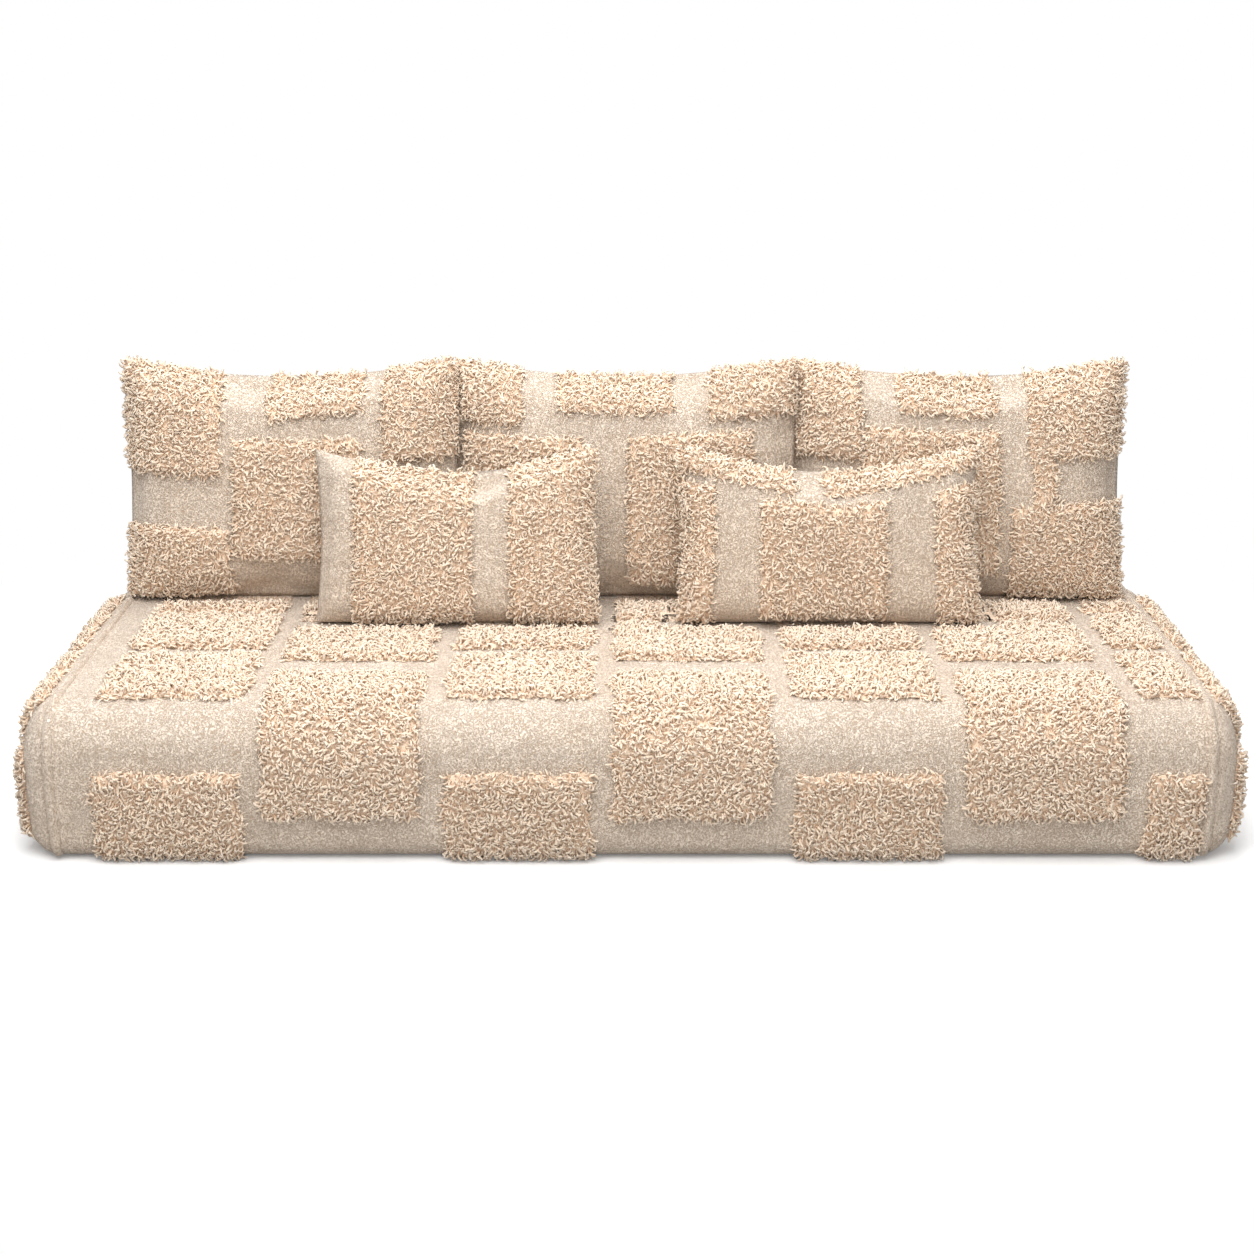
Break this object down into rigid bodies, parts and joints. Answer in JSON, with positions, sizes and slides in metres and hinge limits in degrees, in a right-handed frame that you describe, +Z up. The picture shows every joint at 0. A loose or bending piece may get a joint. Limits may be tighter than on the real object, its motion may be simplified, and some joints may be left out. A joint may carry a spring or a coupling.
{
  "type": "majlis floor sofa",
  "caption": "Low majlis floor sofa: a thick rounded floor mattress with loose leaning back cushions and lumbar pillows, in nubby cloth with shaggy tufted rectangles.",
  "frame": {"origin": "centre of the mattress's flat underside, on the floor", "axes": "+X along the mattress to the right as seen from the front, +Y to the back, +Z up"},
  "size_m": [1.998, 0.786, 0.6943],
  "materials": {
    "base_cloth": "nubby woven cotton and wool",
    "cut_pile": "shaggy cut pile tufts",
    "foam": "open cell foam",
    "fibre_filling": "fibre in a thin white lining",
    "zip_tape": "woven tape with moulded teeth",
    "zip_metal": "satin"
  },
  "bodies": {
    "mattress": {"mattress_core": "foam", "mattress_wrap_panel": "base_cloth", "mattress_left_end_panel": "base_cloth", "mattress_right_end_panel": "base_cloth", "mattress_left_seam_band": "base_cloth", "mattress_right_seam_band": "base_cloth", "front_low_tufts": "cut_pile", "front_high_tufts": "cut_pile", "rear_tufts": "cut_pile", "left_end_tufts": "cut_pile", "right_end_tufts": "cut_pile", "top_row_1_tufts": "cut_pile", "top_row_2_tufts": "cut_pile", "top_row_3_tufts": "cut_pile", "top_row_4_tufts": "cut_pile", "top_row_5_tufts": "cut_pile", "mattress_zip_tape": "zip_tape"},
    "mattress_zip": {"mattress_zip_slider": "zip_metal"},
    "left_back": {"left_back_filling": "fibre_filling", "left_back_cover": "base_cloth", "left_back_tufts": "cut_pile", "left_back_zip_tape": "zip_tape"},
    "left_back_zip": {"left_back_zip_slider": "zip_metal"},
    "middle_back": {"middle_back_filling": "fibre_filling", "middle_back_cover": "base_cloth", "middle_back_tufts": "cut_pile", "middle_back_zip_tape": "zip_tape"},
    "middle_back_zip": {"middle_back_zip_slider": "zip_metal"},
    "right_back": {"right_back_filling": "fibre_filling", "right_back_cover": "base_cloth", "right_back_tufts": "cut_pile", "right_back_zip_tape": "zip_tape"},
    "right_back_zip": {"right_back_zip_slider": "zip_metal"},
    "left_lumbar": {"left_lumbar_filling": "fibre_filling", "left_lumbar_cover": "base_cloth", "left_lumbar_tufts": "cut_pile", "left_lumbar_zip_tape": "zip_tape"},
    "left_lumbar_zip": {"left_lumbar_zip_slider": "zip_metal"},
    "right_lumbar": {"right_lumbar_filling": "fibre_filling", "right_lumbar_cover": "base_cloth", "right_lumbar_tufts": "cut_pile", "right_lumbar_zip_tape": "zip_tape"},
    "right_lumbar_zip": {"right_lumbar_zip_slider": "zip_metal"}
  },
  "joints": [
    {"name": "mattress_zip_slide", "type": "slide", "parent": "mattress", "child": "mattress_zip", "axis": [1, 0, 0], "range_m": [0, 1.474]},
    {"name": "left_back_lift", "type": "slide", "parent": "mattress", "child": "left_back", "axis": [0, 0.2079, 0.9781], "range_m": [0, 0.5]},
    {"name": "middle_back_lift", "type": "slide", "parent": "mattress", "child": "middle_back", "axis": [0, 0.2079, 0.9781], "range_m": [0, 0.5]},
    {"name": "right_back_lift", "type": "slide", "parent": "mattress", "child": "right_back", "axis": [0, 0.2079, 0.9781], "range_m": [0, 0.5]},
    {"name": "left_lumbar_lift", "type": "slide", "parent": "mattress", "child": "left_lumbar", "axis": [0, -0.3, 0.9539], "range_m": [0, 0.5]},
    {"name": "right_lumbar_lift", "type": "slide", "parent": "mattress", "child": "right_lumbar", "axis": [0, -0.3, 0.9539], "range_m": [0, 0.5]},
    {"name": "left_back_zip_slide", "type": "slide", "parent": "left_back", "child": "left_back_zip", "axis": [1, 0, 0], "range_m": [0, 0.304]},
    {"name": "middle_back_zip_slide", "type": "slide", "parent": "middle_back", "child": "middle_back_zip", "axis": [1, 0, 0], "range_m": [0, 0.304]},
    {"name": "right_back_zip_slide", "type": "slide", "parent": "right_back", "child": "right_back_zip", "axis": [1, 0, 0], "range_m": [0, 0.304]},
    {"name": "left_lumbar_zip_slide", "type": "slide", "parent": "left_lumbar", "child": "left_lumbar_zip", "axis": [1, 0, 0], "range_m": [0, 0.224]},
    {"name": "right_lumbar_zip_slide", "type": "slide", "parent": "right_lumbar", "child": "right_lumbar_zip", "axis": [1, 0, 0], "range_m": [0, 0.224]}
  ]
}
